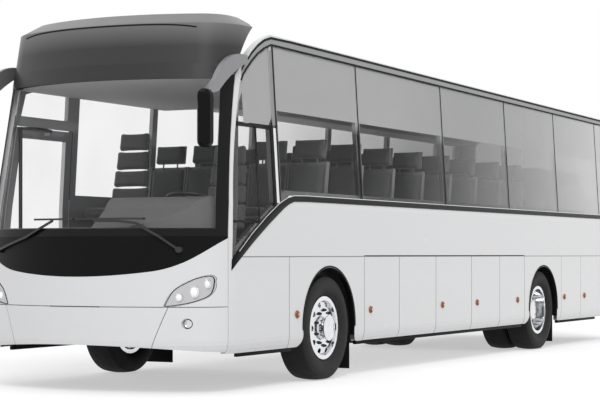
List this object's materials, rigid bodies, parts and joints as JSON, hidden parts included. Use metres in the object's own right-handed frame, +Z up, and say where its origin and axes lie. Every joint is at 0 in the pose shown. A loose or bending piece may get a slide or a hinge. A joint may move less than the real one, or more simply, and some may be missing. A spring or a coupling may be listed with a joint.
{
  "type": "coach bus",
  "caption": "High-floor coach with bowed front, big side windows, underfloor luggage bays, front entry door, steered front axle and twin rear wheels.",
  "frame": {"origin": "on the ground under the middle of the vehicle's overall box", "axes": "+Z up, -Y is forward, +X is the vehicle's left (driver's) side"},
  "size_m": [2.6, 11.8024, 3.33],
  "materials": {
    "body_white": "white gloss paint",
    "gloss_black": "gloss black moulding",
    "chassis_black": "satin black chassis paint",
    "bay_alloy": "plain alloy sheet",
    "floor_grey": "grey vinyl floor",
    "clear_glass": "laminated glass",
    "lamp_glass": "clear lamp moulding over bright reflectors",
    "tinted_glass": "grey tinted glass",
    "red_lens": "red and amber lamp moulding",
    "engine_grey": "cast engine block",
    "rubber": "black rubber sheet",
    "tyre": "tyre rubber",
    "rim_alloy": "polished wheel disc",
    "seat_fabric": "dark grey woven fabric",
    "dash_plastic": "black grained plastic",
    "arm_silver": "silver grey paint"
  },
  "bodies": {
    "coach": {"cabin_floor": "floor_grey", "entry_steps": "floor_grey", "frame_rails": "chassis_black", "underframe": "chassis_black", "tow_bracket": "chassis_black", "luggage_bays": "bay_alloy", "left_side_wall": "body_white", "right_side_wall": "body_white", "roof": "body_white", "roof_air_conditioner": "body_white", "front_visor": "gloss_black", "front_mask": "body_white", "wiper_panel": "gloss_black", "bumpers": "body_white", "windscreen": "clear_glass", "headlamps": "lamp_glass", "side_windows": "tinted_glass", "rear_wall": "body_white", "rear_window": "tinted_glass", "tail_lamps": "red_lens", "engine": "engine_grey", "wheelhouses": "chassis_black", "mud_flaps": "rubber", "front_axle": "chassis_black", "rear_axle": "chassis_black", "passenger_seats": "seat_fabric", "seat_legs": "chassis_black", "crew_seats": "seat_fabric", "parcel_racks": "floor_grey", "dashboard": "dash_plastic", "steering_wheel": "dash_plastic", "mirror_heads": "dash_plastic", "mirror_arms": "arm_silver", "wipers": "dash_plastic"},
    "engine_lid": {"engine_lid": "body_white"},
    "entry_door_arm": {"entry_door_arm": "chassis_black"},
    "entry_door": {"entry_door": "body_white", "entry_door_glass": "tinted_glass"},
    "left_knuckle": {"left_knuckle": "chassis_black"},
    "front_left_wheel": {"front_left_tyre": "tyre", "front_left_rim": "rim_alloy"},
    "rear_left_wheels": {"rear_left_tyres": "tyre", "rear_left_rims": "rim_alloy"},
    "left_luggage_door_1": {"left_luggage_door_1": "body_white"},
    "left_luggage_door_2": {"left_luggage_door_2": "body_white"},
    "left_luggage_door_3": {"left_luggage_door_3": "body_white"},
    "left_luggage_door_4": {"left_luggage_door_4": "body_white"},
    "left_luggage_door_5": {"left_luggage_door_5": "body_white"},
    "right_knuckle": {"right_knuckle": "chassis_black"},
    "front_right_wheel": {"front_right_tyre": "tyre", "front_right_rim": "rim_alloy"},
    "rear_right_wheels": {"rear_right_tyres": "tyre", "rear_right_rims": "rim_alloy"},
    "right_luggage_door_1": {"right_luggage_door_1": "body_white"},
    "right_luggage_door_2": {"right_luggage_door_2": "body_white"},
    "right_luggage_door_3": {"right_luggage_door_3": "body_white"},
    "right_luggage_door_4": {"right_luggage_door_4": "body_white"},
    "right_luggage_door_5": {"right_luggage_door_5": "body_white"}
  },
  "joints": [
    {"name": "engine_lid_hinge", "type": "hinge", "parent": "coach", "child": "engine_lid", "pos_m": [0, 5.853, 1.766], "axis": [1, 0, 0], "range_deg": [0, 85]},
    {"name": "entry_door_swing", "type": "hinge", "parent": "coach", "child": "entry_door_arm", "pos_m": [-1.145, -5.12, 1], "axis": [0, 0, 1], "range_deg": [0, 140]},
    {"name": "entry_door_parallel", "type": "hinge", "parent": "entry_door_arm", "child": "entry_door", "pos_m": [-1.14, -4.67, 1], "axis": [0, 0, 1], "range_deg": [-140, 0]},
    {"name": "left_steer", "type": "hinge", "parent": "coach", "child": "left_knuckle", "pos_m": [0.98, -3.48, 0.5], "axis": [0, 0, 1], "range_deg": [-40, 40]},
    {"name": "front_left_roll", "type": "hinge", "parent": "left_knuckle", "child": "front_left_wheel", "pos_m": [1.1, -3.48, 0.5], "axis": [1, 0, 0], "continuous": true},
    {"name": "rear_left_roll", "type": "hinge", "parent": "coach", "child": "rear_left_wheels", "pos_m": [1.0835, 2.577, 0.5], "axis": [1, 0, 0], "continuous": true},
    {"name": "left_luggage_door_1_hinge", "type": "hinge", "parent": "coach", "child": "left_luggage_door_1", "pos_m": [1.266, -2.286, 1.177], "axis": [0, -1, 0], "range_deg": [0, 88]},
    {"name": "left_luggage_door_2_hinge", "type": "hinge", "parent": "coach", "child": "left_luggage_door_2", "pos_m": [1.266, -1.3785, 1.177], "axis": [0, -1, 0], "range_deg": [0, 88]},
    {"name": "left_luggage_door_3_hinge", "type": "hinge", "parent": "coach", "child": "left_luggage_door_3", "pos_m": [1.266, -0.3755, 1.177], "axis": [0, -1, 0], "range_deg": [0, 88]},
    {"name": "left_luggage_door_4_hinge", "type": "hinge", "parent": "coach", "child": "left_luggage_door_4", "pos_m": [1.266, 0.588, 1.177], "axis": [0, -1, 0], "range_deg": [0, 88]},
    {"name": "left_luggage_door_5_hinge", "type": "hinge", "parent": "coach", "child": "left_luggage_door_5", "pos_m": [1.266, 1.4575, 1.177], "axis": [0, -1, 0], "range_deg": [0, 88]},
    {"name": "right_steer", "type": "hinge", "parent": "coach", "child": "right_knuckle", "pos_m": [-0.98, -3.48, 0.5], "axis": [0, 0, 1], "range_deg": [-40, 40]},
    {"name": "front_right_roll", "type": "hinge", "parent": "right_knuckle", "child": "front_right_wheel", "pos_m": [-1.1, -3.48, 0.5], "axis": [1, 0, 0], "continuous": true},
    {"name": "rear_right_roll", "type": "hinge", "parent": "coach", "child": "rear_right_wheels", "pos_m": [-1.0835, 2.577, 0.5], "axis": [1, 0, 0], "continuous": true},
    {"name": "right_luggage_door_1_hinge", "type": "hinge", "parent": "coach", "child": "right_luggage_door_1", "pos_m": [-1.266, -2.286, 1.177], "axis": [0, 1, 0], "range_deg": [0, 88]},
    {"name": "right_luggage_door_2_hinge", "type": "hinge", "parent": "coach", "child": "right_luggage_door_2", "pos_m": [-1.266, -1.3785, 1.177], "axis": [0, 1, 0], "range_deg": [0, 88]},
    {"name": "right_luggage_door_3_hinge", "type": "hinge", "parent": "coach", "child": "right_luggage_door_3", "pos_m": [-1.266, -0.3755, 1.177], "axis": [0, 1, 0], "range_deg": [0, 88]},
    {"name": "right_luggage_door_4_hinge", "type": "hinge", "parent": "coach", "child": "right_luggage_door_4", "pos_m": [-1.266, 0.588, 1.177], "axis": [0, 1, 0], "range_deg": [0, 88]},
    {"name": "right_luggage_door_5_hinge", "type": "hinge", "parent": "coach", "child": "right_luggage_door_5", "pos_m": [-1.266, 1.4575, 1.177], "axis": [0, 1, 0], "range_deg": [0, 88]}
  ],
  "couplings": [
    {"joint": "entry_door_parallel", "follows": "entry_door_swing", "ratio": -1},
    {"joint": "right_steer", "follows": "left_steer", "ratio": 1}
  ]
}
